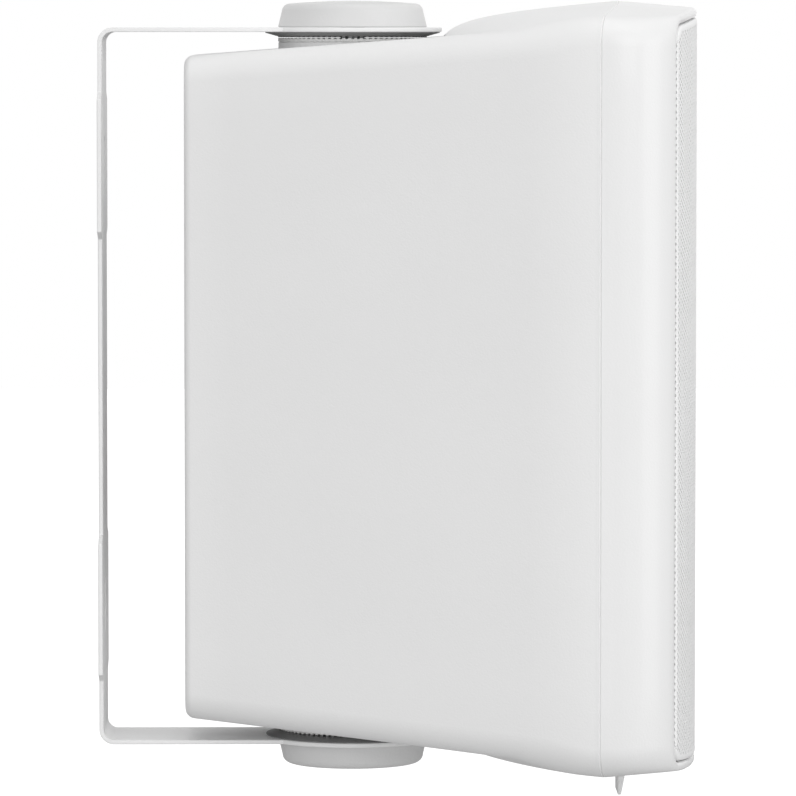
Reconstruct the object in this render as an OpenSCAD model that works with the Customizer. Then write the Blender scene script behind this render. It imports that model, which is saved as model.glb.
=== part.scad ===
// Two-way wireless loudspeaker in a swivelling wall bracket.
// Millimetres. X is the width, the wall is the plane y = 0, the front looks along -Y, Z is up.
// The origin lies on the wall at the middle of the bracket's height.

/* [Bracket] */
// Outer height of the bent steel strap
bracket_h = 240; // [236:1:250]
// Thickness of the strap
strap_t = 1.5; // [1:0.25:2]
// Width of the strap
strap_w = 38; // [30:1:46]
// Radius of the round end of each arm
disc_r = 30; // [28:0.5:31]
// Distance from the wall to the swivel axis
pivot_reach = 85; // [84:1:90]
// Outside radius of the two bends
bend_r = 5; // [3:0.5:8]
// Width of the two wall pads
pad_w = 52; // [48:1:58]
// Length of each wall pad
pad_l = 49; // [36:1:60]
// Length of the slope at each end of a pad
pad_slope = 2.5; // [1:0.5:7]
// Height of each pad's middle above or below the origin
pad_z = 74; // [60:1:85]
// Length of each wall slot, end to end
slot_l = 20; // [12:1:26]
// Width of each wall slot
slot_w = 6; // [4:0.5:8]

/* [Swivel] */
// Radius of the threaded stud of each knob
stud_r = 4; // [3:0.5:5]
// Running clearance round the stud
stud_gap = 0.08; // [0.03:0.01:0.1]
// Number of teeth round each ratchet ring
tooth_count = 80; // [60:4:90]
// Height of a ratchet tooth
tooth_h = 0.4; // [0.2:0.05:0.5]
// Gap between the tips of the two rings when the knobs are slack
tooth_gap = 0.2; // [0.1:0.05:0.3]
// Radius of the toothed track
track_r = 25; // [23:0.5:26]
// Width of the toothed track
track_w = 6; // [4:0.5:8]
// Radius of the ratchet ring where it meets the arm
ring_rim_r = 29.3; // [27.5:0.1:29.8]
// Thickness of the ratchet ring on the arm
ring_t = 1.4; // [1:0.1:1.8]
// Thickness of the ratchet ring on the cabinet
boss_ring_t = 0.8; // [0.6:0.1:1.2]

/* [Knobs] */
// Radius of a knob at its foot
knob_r = 25; // [20:0.5:28]
// Height of a knob
knob_h = 8.9; // [8:0.1:11]
// How much the knob's side leans in
knob_draft = 1.2; // [0:0.1:2]
// Radius of the knob's top edge
knob_edge_r = 2.8; // [1:0.1:3.5]
// Rise of the knob's crowned top
knob_crown = 0.9; // [0.2:0.1:1.5]
// Radius of the washer under the knob
washer_r = 9.5; // [8:0.5:11]
// Thickness of the washer
washer_t = 1.2; // [0.8:0.1:1.6]
// Length of stud below the knob's foot
stud_l = 17; // [14:0.5:19]

/* [Cabinet] */
// Distance from the wall to the cabinet's back
wall_gap = 29; // [26:0.5:33]
// Half width of the cabinet at its back
rear_half_w = 31; // [28:0.5:33]
// Half height of the cabinet at its back
rear_half_h = 110.6; // [110:0.1:110.9]
// Radius of the edges round the back
rear_edge_r = 3; // [1.5:0.5:4]
// Growth of the half width from the end of the straight taper to the seam
taper_rest = 7.13; // [6:0.01:8]
// Rise of the top towards the front
top_slope = 0.075; // [0.07:0.001:0.078]
// Distance from the wall at which the sides start to bend round
taper_end = 141; // [136:1:146]
// Half width at the seam
seam_half_w = 85; // [83:0.5:87]
// Distance from the wall to the seam at the sides
seam_side = 165; // [163:0.5:167]
// Distance from the wall to the seam at the middle
seam_mid = 174; // [172:0.5:176]
// Distance from the wall at which the hood starts, at the middle
hood_mid = 115.5; // [115:0.5:118]
// Distance from the wall at which the hood starts, at the sides
hood_side = 142; // [138:1:146]
// Rise that the hood would reach at the middle, far out
hood_rise = 8.5; // [6:0.1:9]
// Distance in which the hood gains half its rise
hood_half = 8; // [6:0.5:12]
// Rise of the hood at the sides
hood_side_rise = 2.4; // [1.5:0.1:3.5]
// Radius of the long edges
edge_r = 9; // [6:0.5:12]
// Thickness of the moulded walls
wall_t = 3.5; // [3:0.25:4]

/* [Bezel] */
// Distance from the wall to the bezel's front edge at the sides
front_side = 190; // [188:0.5:192]
// Distance from the wall to the bezel's front edge at the middle
front_mid = 200.3; // [199:0.1:202]
// Half width at the bezel's front edge
front_half_w = 70; // [68.5:0.5:72]
// How full the bezel's shoulder is
shoulder_power = 2.4; // [2:0.1:3]
// Fall of the bezel's top towards the front
bezel_drop = 0.085; // [0.05:0.005:0.1]
// Width of the lip round the grille
lip_w = 3; // [2.5:0.1:3.5]
// Thickness of the baffle
baffle_t = 4; // [3:0.5:5]
// Distance from the seam's middle to the back of the baffle
baffle_inset = 1.2; // [1:0.1:2]
// Width of the foot under the bezel
foot_w = 18; // [10:1:30]
// Depth of the foot at its root
foot_root = 3.7; // [3:0.1:5]
// Depth of the foot at its tip
foot_tip = 1.2; // [0.8:0.1:2]
// Height of the foot below the bezel
foot_h = 9.5; // [6:0.5:12]

/* [Grille] */
// Radius of the grille's bow in plan
grille_bow = 238; // [230:1:300]
// Thickness of the perforated sheet
grille_t = 1; // [0.8:0.1:1.2]
// Radius of a hole in the sheet
grille_hole_r = 2.8; // [2:0.1:3]
// Distance between rows of holes
grille_pitch = 10; // [9:0.1:14]
// Depth of the folded rim
grille_rim = 7; // [5:0.5:8]
// Gap between the grille and the lip
grille_gap = 0.3; // [0.2:0.1:0.5]

/* [Woofer] */
// Height of the woofer's axis
woofer_z = -45; // [-47:1:-43]
// Radius of the basket's flange
basket_r = 66; // [65:0.5:66.5]
// Radius of the circle of woofer screws
woofer_screw_pcd_r = 62.7; // [62:0.1:63]
// Radius of the cone at its edge
cone_r = 48.5; // [46:0.5:50]
// Outer radius of the voice coil former
former_r = 12.9; // [12.5:0.1:13.2]
// Distance from the baffle's front to the back of the basket
basket_depth = 38; // [36:1:40]
// Radius of the ring magnet
magnet_r = 43; // [38:1:46]
// Thickness of the ring magnet
magnet_t = 14; // [12:1:16]
// Thickness of the steel plates
plate_t = 5; // [4:0.5:6]

/* [Tweeter] */
// Height of the tweeter's axis
tweeter_z = 53.5; // [53:0.5:54]
// Radius of the tweeter's face plate
face_r = 32; // [30:0.5:32.5]
// Radius of the dome
dome_r = 12.3; // [11.5:0.1:12.5]
// Radius of the tweeter's magnet
tweeter_magnet_r = 24; // [22:0.5:25]

/* [Port] */
// Height of the port's axis
port_z = 101.5; // [101:0.5:102]
// Radius of the port's bore
port_r = 10.3; // [9:0.1:10.8]
// Wall of the port tube
port_wall = 1.7; // [1:0.1:2]
// Length of the port tube
port_l = 53; // [40:1:56]

/* [Rear panel] */
// Width of the connection panel
panel_w = 46; // [44:1:48]
// Height of the connection panel
panel_h = 130; // [126:1:140]
// Thickness of the connection panel
panel_t = 2; // [1.6:0.1:2.4]
// How far the panel lies inside the cabinet's back
panel_sink = 2.5; // [0:0.5:3]
// Radius of the audio socket's bore
aux_r = 1.8; // [1.7:0.05:1.9]
// Radius of the power socket's bore
power_r = 2.75; // [2.5:0.05:3]
// Radius of the pairing button
button_r = 4; // [3:0.25:5]
// Width of each terminal lever
lever_w = 9; // [8:0.5:10]
// Radius of the terminal levers' pins
lever_pin_r = 0.9; // [0.8:0.05:1.2]

/* [Boards] */
// Thickness of a circuit board
board_t = 1.6; // [1.2:0.1:2]
// Distance from the panel to the amplifier board
board_gap = 15; // [14:0.5:17]
// Width of the amplifier board
board_w = 34; // [32:1:35]
// Height of the amplifier board
board_h = 112; // [108:1:114]
// Number of fins on the heat sink
fin_count = 8; // [5:1:10]

/* [Hidden] */
$fn = 64;
eps = 0.01;
fit = 0.05;
slack = 0.3;
// heights at the swivel, all measured from the bracket's outer height
arm_z = bracket_h / 2;
arm_under_z = arm_z - strap_t;
ring_root_z = arm_under_z - ring_t;
ring_tip_z = ring_root_z - tooth_h;
boss_tip_z = ring_tip_z - tooth_gap;
boss_root_z = boss_tip_z - tooth_h;
boss_z = boss_root_z - boss_ring_t;
spot_r = disc_r + 1.3;
boss_core_r = 11;
boss_core_l = 20;
insert_r = 7;
insert_l = 12;
washer_gap = 0.05;
// depths from the wall along the front axis
baffle_back = seam_mid + baffle_inset;
baffle_front = baffle_back + baffle_t;
basket_back = baffle_front - basket_depth;
rear_inner = wall_gap + wall_t;
panel_land = rear_inner + wall_t + panel_sink;
panel_face = wall_gap + panel_sink;
panel_inner = panel_face + panel_t;
board_back = panel_inner + board_gap;
board_front = board_back + board_t;
// screws
post_r = 4.5;
screw_r = 1.9;
screw_head_r = 3.6;
small_screw_r = 1.4;
small_head_r = 2.5;
post_spots = [[58, 104], [62, 22], [58, -104]];
half_circle = 180;
quarter = 90;

function unit(v) = min(1, max(0, v));
function ease(v) = let (c = unit(v)) c * c * (3 - 2 * c);
function mix(a, b, t) = a + (b - a) * t;
// depth of the seam, of the hood's start and of the front edge, u running from 0 mid to 1 side
function seam_d(u) = mix(seam_mid, seam_side, u * u);
function hood_d(u) = mix(hood_mid, hood_side, u * u);
lip_corner = 1 - edge_r / front_half_w;
side_step = front_mid - front_half_w * front_half_w / (2 * grille_bow) - front_side;
function front_d(u) = front_mid - pow(u * front_half_w, 2) / (2 * grille_bow)
    - side_step * ease((u - lip_corner) / (1 - lip_corner));
// half width at a depth: straight taper, blend to the seam, rounded shoulder
blend_l = seam_side - taper_end;
taper_w = seam_half_w - taper_rest;
side_taper = (taper_w - rear_half_w) / (taper_end - wall_gap - rear_edge_r);
blend_k = (seam_half_w - taper_w - side_taper * blend_l) / (blend_l * blend_l);
function half_w(d) = d < taper_end ? rear_half_w + side_taper * (d - wall_gap - rear_edge_r)
    : d < seam_side ? taper_w + side_taper * (d - taper_end) + blend_k * pow(d - taper_end, 2)
    : seam_half_w - (seam_half_w - front_half_w)
        * pow(unit((d - seam_side) / (front_side - seam_side)), shoulder_power);
// height of the top at a place: sloping base plus the hood, or the falling bezel
function base_z(d) = rear_half_h + top_slope * (d - wall_gap);
function hood_z(u, d) = let (s = max(0, d - hood_d(u)))
    base_z(d) + (1 - u * u) * hood_rise * s / (s + hood_half)
    + u * u * hood_side_rise * ease(s / (seam_side - hood_side));
function top_z(u, x, d) = let (v = min(1, x / seam_half_w))
    d <= seam_d(u) + eps ? hood_z(u, d) : hood_z(v, seam_d(v)) - bezel_drop * (d - seam_d(v));

// one closed outline round the body, inset by "inset"; depth and half width come as arguments
top_steps = 7;
corner_steps = 4;
us = [for (i = [0 : top_steps]) i / top_steps];
function quadrant(w, r, inset, depths) = concat(
    [for (i = [0 : top_steps]) let (x = us[i] * (w - r), u = us[i] * (1 - r / w), d = depths(u))
        [x, -d, top_z(u, x, d) - inset]],
    [for (i = [1 : corner_steps]) let (a = quarter * i / corner_steps, x = w - r + r * sin(a),
        u = 1 - r / w + r / w * sin(a), d = depths(u))
        [x, -d, top_z(u, x, d) - inset - r * (1 - cos(a))]]);
function flip_x(p) = [-p[0], p[1], p[2]];
function flip_z(p) = [p[0], p[1], -p[2]];
function reversed(list) = [for (i = [len(list) - 1 : -1 : 0]) list[i]];
function tail(list) = [for (i = [1 : len(list) - 1]) list[i]];
function outline(w, r, inset, depths) =
    let (q = quadrant(w - inset, max(1, r - inset), inset, depths))
    concat(q, reversed([for (p = q) flip_z(p)]), tail([for (p = q) flip_x(flip_z(p))]),
        reversed(tail([for (p = q) flip_x(p)])));
function centre(ring) = [0, ring[0][1], 0];
// rings of points joined one to the next; capped at both ends, or run round into a ring
module loft(rings, closed = false) {
    n = len(rings[0]);
    m = len(rings);
    spans = closed ? m - 1 : m - 2;
    sides = [for (j = [0 : spans], i = [0 : n - 1], k = [0, 1])
        let (a = j * n, b = ((j + 1) % m) * n, h = (i + 1) % n)
        k == 0 ? [a + i, a + h, b + i] : [a + h, b + h, b + i]];
    hubs = closed ? [] : [centre(rings[0]), centre(rings[m - 1])];
    caps = closed ? [] : [for (i = [0 : n - 1], k = [0, 1]) let (h = (i + 1) % n, a = (m - 1) * n)
        k == 0 ? [h, i, m * n] : [a + i, a + h, m * n + 1]];
    polyhedron(points = concat([for (ring = rings) each ring], hubs), faces = concat(sides, caps),
        convexity = 8);
}
// children given in a local frame whose Z is the depth from the wall
module facing(x, z) translate([x, 0, z]) rotate([quarter, 0, 0]) children();
module facing_disc(x, z, r, d0, d1)
    facing(x, z) translate([0, 0, d0]) cylinder(r = r, h = d1 - d0);
module block(x0, x1, d0, d1, z0, z1)
    translate([x0, -d1, z0]) cube([x1 - x0, d1 - d0, z1 - z0]);
module turned(x, z, profile) facing(x, z) rotate_extrude() polygon(profile);
module ring(x, z, r_in, r_out, d0, d1)
    turned(x, z, [[r_in, d0], [r_out, d0], [r_out, d1], [r_in, d1]]);
module mirrored_z() {
    children();
    mirror([0, 0, 1]) children();
}
module at_pivot() translate([0, -pivot_reach, 0]) children();

// steel strap: two pads on the wall, two bends, two arms with round ends
module bend(side) {
    translate([-strap_w / 2, -bend_r, side * (arm_z - bend_r)])
        rotate([0, quarter, 0])
            intersection() {
                difference() {
                    cylinder(r = bend_r, h = strap_w);
                    translate([0, 0, -1]) cylinder(r = bend_r - strap_t, h = strap_w + 2);
                }
                translate([side > 0 ? -bend_r : 0, 0, 0]) cube([bend_r, bend_r, strap_w]);
            }
}
module pad_outline() {
    ear = pad_l / 2 - pad_slope;
    polygon([[-pad_w / 2, -ear], [-strap_w / 2, -pad_l / 2], [strap_w / 2, -pad_l / 2],
        [pad_w / 2, -ear], [pad_w / 2, ear], [strap_w / 2, pad_l / 2],
        [-strap_w / 2, pad_l / 2], [-pad_w / 2, ear]]);
}
module wall_slot() {
    straight = (slot_l - slot_w) / 2;
    for (end = [-1, 1]) translate([0, end * straight, -1]) cylinder(d = slot_w, h = strap_t + 2);
    translate([-slot_w / 2, -straight, -1]) cube([slot_w, 2 * straight, strap_t + 2]);
}
module mounting_bracket() {
    color("white") difference() {
        union() {
            block(-strap_w / 2, strap_w / 2, 0, strap_t, bend_r - arm_z, arm_z - bend_r);
            for (side = [-1, 1]) facing(0, side * pad_z) linear_extrude(strap_t) pad_outline();
            for (side = [-1, 1]) bend(side);
            mirrored_z() {
                block(-strap_w / 2, strap_w / 2, bend_r, pivot_reach, arm_under_z, arm_z);
                at_pivot() translate([0, 0, arm_under_z]) cylinder(r = disc_r, h = strap_t);
            }
        }
        for (side = [-1, 1]) facing(0, side * pad_z) wall_slot();
        at_pivot() translate([0, 0, -arm_z - 1]) cylinder(r = stud_r + stud_gap, h = 2 * arm_z + 2);
    }
}

// ring with radial teeth standing on it, the teeth pointing along +Z
tooth_w = PI * track_r / tooth_count;
module toothed(profile, root_z, tip_z) {
    difference() {
        rotate_extrude() polygon(profile);
        for (i = [0 : tooth_count - 1])
            rotate([0, 0, i * 360 / tooth_count])
                translate([track_r - track_w - 1, -tooth_w / 2, root_z + fit])
                    cube([track_w + 2, tooth_w, tip_z - root_z + 1]);
    }
}
track_in = track_r - track_w;
ring_bore = stud_r + 2;
module ratchet_ring() {
    color("dimgray") at_pivot() translate([0, 0, arm_under_z]) mirror([0, 0, 1])
        toothed([[ring_bore, 0], [ring_rim_r, 0], [ring_rim_r, 0.3], [track_r + 0.3, ring_t],
            [track_r, ring_t], [track_r, ring_t + tooth_h], [track_in, ring_t + tooth_h],
            [track_in, ring_t], [ring_bore, ring_t]], ring_t, ring_t + tooth_h);
}
module boss_ring() {
    color("gainsboro") at_pivot() translate([0, 0, boss_z])
        toothed([[ring_bore, 0], [track_r, 0], [track_r, boss_ring_t + tooth_h],
            [track_in, boss_ring_t + tooth_h], [track_in, boss_ring_t], [ring_bore, boss_ring_t]],
            boss_ring_t, boss_ring_t + tooth_h);
}
module upper_ratchet_ring() ratchet_ring();
module lower_ratchet_ring() mirror([0, 0, 1]) ratchet_ring();
module upper_boss_ring() boss_ring();
module lower_boss_ring() mirror([0, 0, 1]) boss_ring();

// knob: drafted side, rounded edge, crowned top, cored out below round its hub
function knob_outline() = let (top_r = knob_r - knob_draft, c = top_r - knob_edge_r,
    shoulder = knob_h - knob_crown - knob_edge_r,
    ball = (c * c + knob_crown * knob_crown) / (2 * knob_crown)) concat([[knob_r, 0]],
        [for (a = [0 : 15 : quarter]) [c + knob_edge_r * cos(a), shoulder + knob_edge_r * sin(a)]],
        [for (i = [4 : -1 : 0]) let (x = c * i / 5)
            [x, knob_h - ball + sqrt(ball * ball - x * x)]]);
hub_r = washer_r + 1;
core_top = knob_h - knob_crown - 2.5;
stud_top = knob_h - 2.5;
module knob() {
    color("white") at_pivot() translate([0, 0, arm_z + washer_gap]) difference() {
        rotate_extrude() polygon(concat([[0, 0]], knob_outline()));
        translate([0, 0, -1]) cylinder(r = washer_r + slack, h = washer_t + fit + 1);
        rotate_extrude() polygon([[hub_r, -1], [knob_r - knob_draft - 2, -1],
            [knob_r - knob_draft - 2, core_top - 1], [hub_r, core_top]]);
        translate([0, 0, -1]) cylinder(r = stud_r + fit / 2, h = stud_top + 1);
        translate([0, 0, washer_t + 1]) cylinder(r = stud_r + 2, h = stud_top - washer_t - 2);
    }
}
module knob_stud() {
    color("silver") at_pivot() {
        translate([0, 0, arm_z + washer_gap - stud_l])
            cylinder(r = stud_r, h = stud_l + stud_top - fit);
        translate([0, 0, arm_z + washer_gap + washer_t + 1 + fit])
            cylinder(r = stud_r + 2 - fit, h = stud_top - washer_t - 2 - 2 * fit);
    }
}
module knob_washer() {
    color("lightgray") at_pivot() translate([0, 0, arm_z + washer_gap]) difference() {
        cylinder(r = washer_r, h = washer_t);
        translate([0, 0, -1]) cylinder(r = stud_r + slack, h = washer_t + 2);
    }
}
module upper_knob() knob();
module lower_knob() mirror([0, 0, 1]) knob();
module upper_knob_stud() knob_stud();
module lower_knob_stud() mirror([0, 0, 1]) knob_stud();
module upper_knob_washer() knob_washer();
module lower_knob_washer() mirror([0, 0, 1]) knob_washer();

// threaded brass insert, closed at its inner end by the moulding
insert_top_z = boss_z - 1.5;
module insert() {
    color("goldenrod") at_pivot() translate([0, 0, insert_top_z - insert_l]) difference() {
        union() {
            cylinder(r = insert_r, h = insert_l);
            translate([0, 0, 2]) cylinder(r = insert_r + 1, h = 3, $fn = 6);
        }
        translate([0, 0, -1]) cylinder(r = stud_r + stud_gap / 2, h = insert_l + 2);
    }
}
module upper_insert() insert();
module lower_insert() mirror([0, 0, 1]) insert();

// tapering tub with a hood over its front, open towards the baffle
rear_steps = [0, 30, 60, 90];
rebate_w = 1.7;
rebate_d = 1.2;
function rear_ring(a) = let (d = wall_gap + rear_edge_r * (1 - sin(a)),
    inset = rear_edge_r * (1 - cos(a))) outline(half_w(wall_gap + rear_edge_r), edge_r, inset, function(u) d);
function hood_ring(t, inset, back = 0) = outline(half_w(mix(hood_side, seam_side, t)), edge_r, inset,
    function(u) mix(hood_d(u), seam_d(u), t) - back);
module tub() {
    outer = concat([for (i = [3 : -1 : 0]) rear_ring(rear_steps[i])],
        [for (t = [0, 0.06, 0.14, 0.25, 0.4, 0.6, 0.8, 1]) hood_ring(t, 0)]);
    rim = [hood_ring(1, rebate_w), hood_ring(1, rebate_w, rebate_d), hood_ring(1, wall_t, rebate_d)];
    inner = [for (t = [0.8, 0.5, 0.2, 0]) hood_ring(t, wall_t)];
    floor_ring = [outline(half_w(rear_inner), edge_r, wall_t, function(u) rear_inner)];
    loft(concat(outer, rim, inner, floor_ring));
}
module boss_metal() {
    at_pivot() {
        translate([0, 0, boss_z - 5]) cylinder(r = track_r, h = 5);
        translate([0, 0, boss_z - boss_core_l]) cylinder(r = boss_core_r, h = boss_core_l - 1);
        translate([0, 0, base_z(pivot_reach)]) rotate([-atan(top_slope), 0, 0])
            translate([0, 0, -wall_t - 2.5]) cylinder(r = spot_r + 1.5, h = wall_t + 1.5);
        for (a = [45 : quarter : 360]) rotate([0, 0, a])
            translate([0, -1, boss_z - boss_core_l]) cube([spot_r - 4, 2, boss_core_l - 4]);
    }
}
module boss_cuts() {
    at_pivot() {
        difference() {
            translate([0, 0, boss_z - 0.6]) cylinder(r = spot_r, h = 20);
            translate([0, 0, boss_z - 1]) cylinder(r = track_r, h = 1);
        }
        translate([0, 0, insert_top_z - eps]) cylinder(r = stud_r + 0.5, h = 20);
        translate([0, 0, insert_top_z - insert_l - 3]) cylinder(r = insert_r + fit, h = insert_l + 3);
        translate([0, 0, insert_top_z - insert_l + 2 - fit])
            cylinder(r = insert_r + 1 + fit, h = 3 + 2 * fit);
    }
}
module screw_post(x, z) {
    side = x > 0 ? 1 : -1;
    root_d = wall_gap + rear_edge_r + (abs(x) + post_r + 1 - rear_half_w) / side_taper;
    far_d = baffle_back - 24;
    facing_disc(x, z, post_r, root_d, baffle_back);
    translate([0, 0, z - 1]) linear_extrude(2) polygon([[x, -root_d],
        [side * (half_w(root_d) - 1), -root_d], [side * (half_w(far_d) - 1), -far_d], [x, -far_d]]);
}
module rear_cabinet() {
    color("whitesmoke") difference() {
        union() {
            tub();
            mirrored_z() boss_metal();
            for (spot = post_spots, side = [-1, 1]) screw_post(side * spot[0], spot[1]);
            block(-panel_w / 2 - 3, panel_w / 2 + 3, rear_inner - eps, panel_land,
                -panel_h / 2 - 3, panel_h / 2 + 3);
            for (spot = crossover_spots)
                facing_disc(spot[0], spot[1], boss_r, rear_inner - 1, crossover_back);
        }
        mirrored_z() boss_cuts();
        for (spot = post_spots, side = [-1, 1])
            facing_disc(side * spot[0], spot[1], screw_r + fit, baffle_back - 20, baffle_back + 1);
        block(-panel_w / 2 - fit, panel_w / 2 + fit, wall_gap - 1, panel_inner + seal_t,
            -panel_h / 2 - fit, panel_h / 2 + fit);
        block(-panel_w / 2 + ledge, panel_w / 2 - ledge, wall_gap, panel_land + 1,
            -panel_h / 2 + ledge, panel_h / 2 - ledge);
        for (spot = panel_screw_spots)
            facing_disc(spot[0], spot[1], small_screw_r + fit, wall_gap, panel_land - 1);
        for (spot = crossover_spots)
            facing_disc(spot[0], spot[1], small_screw_r + fit, rear_inner, crossover_back + 1);
    }
}

// moulded frame round the baffle, with a foot below and a lip round the grille
function bezel_ring(t, inset, back = 0) = outline(half_w(mix(seam_side, front_side, t)), edge_r, inset,
    function(u) mix(seam_d(u), front_d(u), t) - back);
function flat_ring(d, inset) = outline(half_w(d), edge_r, inset, function(u) d);
module bezel_frame() {
    back = [flat_ring(baffle_back, wall_t), bezel_ring(0, wall_t)];
    outer = [for (t = [0, 0.25, 0.45, 0.6, 0.72, 0.82, 0.9]) bezel_ring(t, 0)];
    lip = [bezel_ring(0.97, 0.5), bezel_ring(1, 1.6), bezel_ring(1, lip_w, 0.8),
        bezel_ring(1, lip_w, grille_rim + 1)];
    loft(concat(back, outer, lip, [flat_ring(baffle_front, wall_t)]));
}
foot_top = bezel_ring(0, 0)[0][2];
module foot() {
    low = -(foot_top + foot_h);
    translate([foot_w / 2, 0, 0]) rotate([quarter, 0, -quarter]) linear_extrude(foot_w)
        polygon([[seam_mid + eps, -foot_top + 2], [seam_mid + eps, -foot_top],
            [seam_mid + 0.3, low], [seam_mid + 0.3 + foot_tip, low],
            [seam_mid + foot_root, -foot_top], [seam_mid + foot_root, -foot_top + 2]]);
}
module front_bezel() {
    color("white") difference() {
        union() {
            bezel_frame();
            foot();
        }
        facing_disc(0, woofer_z, basket_neck_r + slack, baffle_back - 1, baffle_front + 1);
        facing_disc(0, tweeter_z, tweeter_magnet_r + slack, baffle_back - 1, baffle_front + 1);
        facing_disc(0, port_z, port_r + port_wall + fit, baffle_back - 1, baffle_front + 1);
        for (spot = post_spots, side = [-1, 1])
            facing_disc(side * spot[0], spot[1], screw_r + 0.2, baffle_back - 1, baffle_front + 1);
        for (a = woofer_screw_angles) facing_disc(woofer_screw_pcd_r * cos(a),
            woofer_z + woofer_screw_pcd_r * sin(a), screw_r + fit, baffle_back - 1, baffle_front + 1);
        for (a = tweeter_screw_angles) facing_disc(tweeter_pcd_r * cos(a),
            tweeter_z + tweeter_pcd_r * sin(a), small_screw_r + fit, baffle_back - 1, baffle_front + 1);
    }
}
module cabinet_seal() {
    color("black") loft([hood_ring(1, rebate_w + fit, rebate_d - fit),
        hood_ring(1, rebate_w + fit, fit), hood_ring(1, wall_t, fit),
        hood_ring(1, wall_t, rebate_d - fit)], closed = true);
}
module pan_screw(x, z, r, head_r, seat_d, length, head_h) {
    facing(x, z) {
        translate([0, 0, seat_d]) cylinder(r = head_r, h = head_h);
        translate([0, 0, seat_d - length]) cylinder(r = r, h = length + 1);
    }
}
module cabinet_screws() {
    color("dimgray") for (spot = post_spots, side = [-1, 1])
        pan_screw(side * spot[0], spot[1], screw_r, screw_head_r, baffle_front, 20, 2);
}

// perforated sheet bowed in plan, its rim folded back into the lip
grille_half_w = front_half_w - lip_w - grille_gap;
grille_front = front_mid + 0.2;
grille_crown = bezel_ring(1, lip_w)[0][2];
grille_top = top_z(1, front_half_w, front_side) - lip_w - grille_gap;
grille_cols = floor((2 * grille_half_w - 10) / grille_pitch);
grille_rows = floor((2 * grille_top - 10) / (grille_pitch * 0.866));
function grille_outline(inset) = bezel_ring(1, lip_w + grille_gap + inset);
module grille_envelope(inset) facing(0, 0) linear_extrude(grille_front + 10)
    polygon([for (p = grille_outline(inset)) [p[0], p[2]]]);
module bowed(front, depth) translate([0, grille_bow - front, -grille_crown]) difference() {
    cylinder(r = grille_bow, h = 2 * grille_crown, $fn = 360);
    translate([0, 0, -1]) cylinder(r = grille_bow - depth, h = 2 * grille_crown + 2, $fn = 360);
}
module grille() {
    color("gainsboro") difference() {
        intersection() {
            bowed(grille_front, grille_rim);
            grille_envelope(0);
        }
        intersection() {
            bowed(grille_front - grille_t, grille_rim + 10);
            grille_envelope(grille_t);
        }
        for (row = [0 : grille_rows - 1]) {
            shift = row % 2 == 0 ? 0 : 0.5;
            for (col = [0 : grille_cols - 1 - row % 2])
                facing_disc((col + shift - (grille_cols - 1) / 2) * grille_pitch,
                    (row - (grille_rows - 1) / 2) * grille_pitch * 0.866, grille_hole_r,
                    grille_front - 14, grille_front + 1);
        }
    }
}

// woofer: pressed basket, motor, cone with its surround and spider
basket_neck_r = 57;
ledge_d = basket_back + 10;
woofer_seat = baffle_front + 2;
woofer_screw_angles = [45 : quarter : 360];
lap_r = cone_r - 2.5;
roll_r = 3.6;
roll_mid = cone_r + 0.4 + roll_r;
surround_t = 0.7;
module woofer_basket() {
    color("dimgray") difference() {
        turned(0, woofer_z, [[basket_r, baffle_front], [basket_r, woofer_seat],
            [basket_neck_r - 1.5, woofer_seat], [basket_neck_r - 2.5, baffle_front - 3],
            [41, ledge_d], [36, ledge_d], [36, basket_back + 2],
            [former_r + 1.7, basket_back + 2], [former_r + 1.7, basket_back], [42, basket_back],
            [44, ledge_d], [basket_neck_r, baffle_front - 3], [basket_neck_r, baffle_front]]);
        for (a = [0 : quarter : 270]) facing(0, woofer_z) rotate([0, 0, a])
            translate([30, -19, ledge_d + 4]) cube([40, 38, basket_depth - 21]);
        for (a = woofer_screw_angles) facing_disc(woofer_screw_pcd_r * cos(a),
            woofer_z + woofer_screw_pcd_r * sin(a), screw_r + fit, baffle_front - 1, woofer_seat + 1);
    }
}
plate_r = magnet_r - 5;
pole_r = former_r - 0.9;
magnet_front = basket_back - plate_t;
magnet_back = magnet_front - magnet_t;
module woofer_top_plate() color("silver")
    ring(0, woofer_z, former_r + 1.1, plate_r, magnet_front, basket_back);
module woofer_magnet() color("#303030")
    ring(0, woofer_z, former_r + 7, magnet_r, magnet_back, magnet_front);
module woofer_pole_piece() {
    color("silver") turned(0, woofer_z, [[0, magnet_back - plate_t], [plate_r - 1, magnet_back - plate_t],
        [plate_r, magnet_back - plate_t + 1], [plate_r, magnet_back], [pole_r, magnet_back],
        [pole_r, basket_back - 1], [pole_r - 1, basket_back], [0, basket_back]]);
}
module woofer_gasket() color("#202020") ring(0, woofer_z, roll_mid + roll_r + 1.5,
    woofer_screw_pcd_r - 3, woofer_seat + surround_t + fit, woofer_seat + surround_t + 1.2);
module woofer_screws() {
    color("dimgray") for (a = woofer_screw_angles) pan_screw(woofer_screw_pcd_r * cos(a),
        woofer_z + woofer_screw_pcd_r * sin(a), screw_r, screw_r + 1, woofer_seat, 14, 1.8);
}
function roll(r, start, stop) = [for (i = [0 : 8]) let (a = mix(start, stop, i / 8))
    [roll_mid - r * cos(a), woofer_seat + fit + r * sin(a)]];
module woofer_surround() {
    low = woofer_seat + fit;
    color("#252525") turned(0, woofer_z, concat([[lap_r, low], [lap_r, low + surround_t]],
        roll(roll_r + surround_t, asin(surround_t / (roll_r + surround_t)), half_circle
            - asin(surround_t / (roll_r + surround_t))),
        [[woofer_screw_pcd_r - 3.2, low + surround_t], [woofer_screw_pcd_r - 3.2, low]],
        roll(roll_r, half_circle, 0)));
}
spider_in = former_r + 0.15;
spider_waves = 3;
spider_out = 35;
function spider_d(r, t) = ledge_d + 1.2 + t
    + 0.9 * sin(360 * spider_waves * (r - spider_in) / (spider_out - spider_in));
spider_rs = [for (i = [0 : 18]) mix(spider_in, spider_out, i / 18)];
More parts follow.
